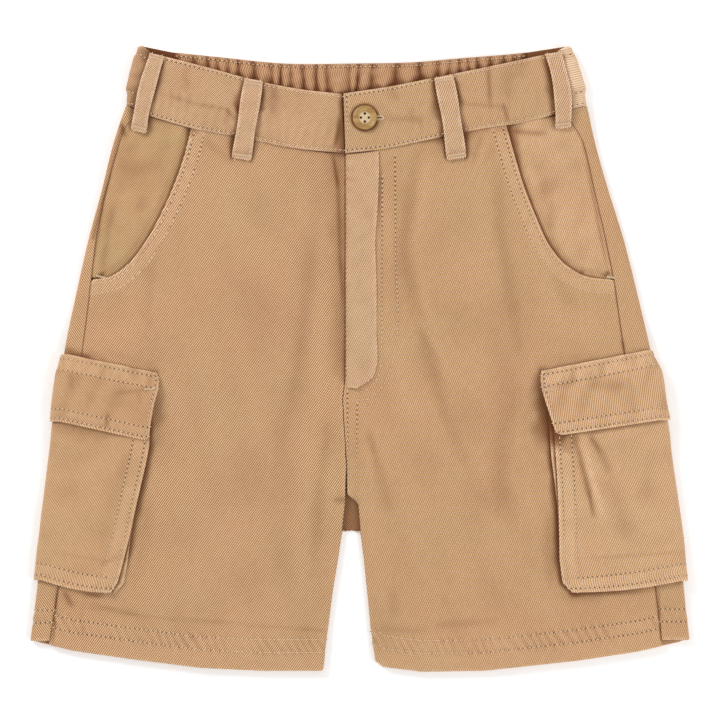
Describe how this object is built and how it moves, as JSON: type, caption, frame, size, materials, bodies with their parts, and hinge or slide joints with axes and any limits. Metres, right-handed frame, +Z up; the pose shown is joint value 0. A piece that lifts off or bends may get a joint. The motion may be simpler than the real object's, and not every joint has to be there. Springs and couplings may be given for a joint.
{
  "type": "cargo shorts",
  "caption": "Cotton drill cargo shorts laid flat, with an elastic back waist, front fly with a button, scooped hip pockets, belt loops and flap cargo pockets.",
  "frame": {"origin": "on the surface the shorts lie on, under the middle of their outline", "axes": "+X across the shorts towards the fly's overlap side, +Y up towards the waist, +Z up from the surface, out of the front"},
  "size_m": [0.3959, 0.3755, 0.0117],
  "materials": {
    "drill": "tan cotton drill, matte, diagonal twill, tonal topstitching",
    "drill_pocket": "the same drill, cargo pockets and flaps, matte",
    "drill_facing": "the same drill inside the hip pocket mouths, matte",
    "drill_band": "the same drill doubled, waistband and belt loops, matte",
    "drill_fly": "the same drill along the fly, lighter from wear on the fold, matte",
    "drill_gathered": "the same drill gathered by elastic, matte",
    "horn_button": "horn look, satin, warm patches"
  },
  "bodies": {
    "root": {"front_left": "drill", "front_right": "drill", "back_left": "drill", "back_right": "drill", "hip_facing_left": "drill_facing", "hip_facing_right": "drill_facing", "waistband_left": "drill_band", "waistband_right": "drill_band", "waistband_back": "drill_gathered", "fly": "drill_fly", "loop_side_left": "drill_band", "loop_front_left": "drill_band", "loop_front_right": "drill_band", "loop_side_right": "drill_band", "cargo_bag_left": "drill_pocket", "cargo_bag_right": "drill_pocket", "cargo_gusset_left": "drill_pocket", "cargo_gusset_right": "drill_pocket", "cargo_flap_left": "drill_pocket", "cargo_flap_right": "drill_pocket", "button": "horn_button"}
  },
  "joints": []
}
